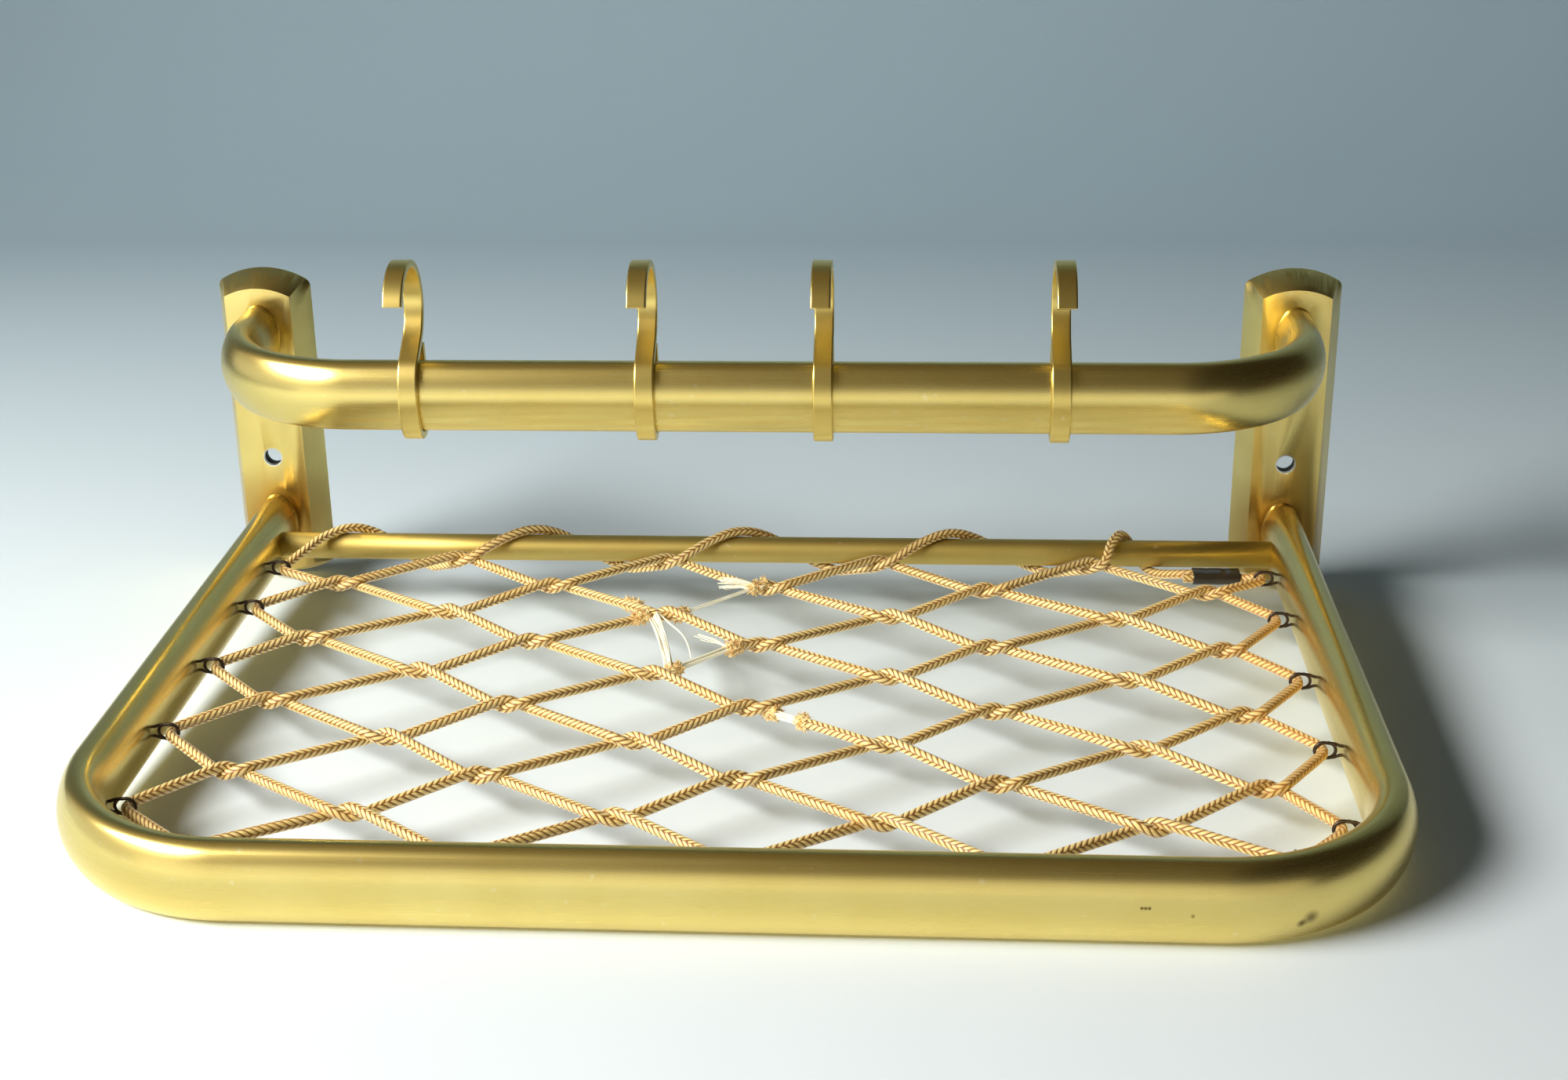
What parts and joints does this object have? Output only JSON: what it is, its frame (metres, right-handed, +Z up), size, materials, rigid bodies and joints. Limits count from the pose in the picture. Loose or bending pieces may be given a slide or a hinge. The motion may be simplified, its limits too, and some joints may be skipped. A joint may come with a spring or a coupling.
{
  "type": "wall coat rack",
  "caption": "Wall coat rack of gold-coloured oval tube: pressed wall plates, a coat rail with sliding strip hooks, and a hat shelf strung with a worn elastic cord net.",
  "frame": {"origin": "on the wall plane, midway between the two screw holes", "axes": "+Z up as it hangs in use, +Y into the wall, +X to the right seen from in front"},
  "size_m": [0.5012, 0.3428, 0.178],
  "materials": {
    "anodised_gold": "satin gold anodised, a little worn and stained",
    "hook_gold": "satin gold anodised strip with rounded edges",
    "elastic_cord": "tan braided cover over pale rubber threads, frayed in places",
    "dark_wire": "dark oxidised steel wire",
    "dark_sleeve": "dark crimped metal"
  },
  "bodies": {
    "rack": {"wall_plate_left": "anodised_gold", "wall_plate_right": "anodised_gold", "coat_rail": "anodised_gold", "shelf_tube": "anodised_gold", "shelf_crossbar": "anodised_gold", "net_loop_1": "elastic_cord", "net_loop_2": "elastic_cord", "net_loop_3": "elastic_cord", "net_loop_4": "elastic_cord", "net_loop_5": "elastic_cord", "net_clip_left_1": "dark_wire", "net_clip_left_2": "dark_wire", "net_clip_left_3": "dark_wire", "net_clip_left_4": "dark_wire", "net_clip_left_5": "dark_wire", "net_clip_right_1": "dark_wire", "net_clip_right_2": "dark_wire", "net_clip_right_3": "dark_wire", "net_clip_right_4": "dark_wire", "net_clip_right_5": "dark_wire", "net_clip_front_1": "dark_wire", "net_clip_front_2": "dark_wire", "net_clip_front_3": "dark_wire", "net_clip_front_4": "dark_wire", "net_clip_front_5": "dark_wire", "cord_ferrule": "dark_sleeve"},
    "hook_1": {"coat_hook_1": "hook_gold"},
    "hook_2": {"coat_hook_2": "hook_gold"},
    "hook_3": {"coat_hook_3": "hook_gold"},
    "hook_4": {"coat_hook_4": "hook_gold"}
  },
  "joints": [
    {"name": "hook_1_slide", "type": "slide", "parent": "rack", "child": "hook_1", "axis": [1, 0, 0], "range_m": [-0.041, 0.0435]},
    {"name": "hook_2_slide", "type": "slide", "parent": "rack", "child": "hook_2", "axis": [1, 0, 0], "range_m": [-0.0434, 0.0318]},
    {"name": "hook_3_slide", "type": "slide", "parent": "rack", "child": "hook_3", "axis": [1, 0, 0], "range_m": [-0.0318, 0.0441]},
    {"name": "hook_4_slide", "type": "slide", "parent": "rack", "child": "hook_4", "axis": [1, 0, 0], "range_m": [-0.0441, 0.0223]}
  ]
}
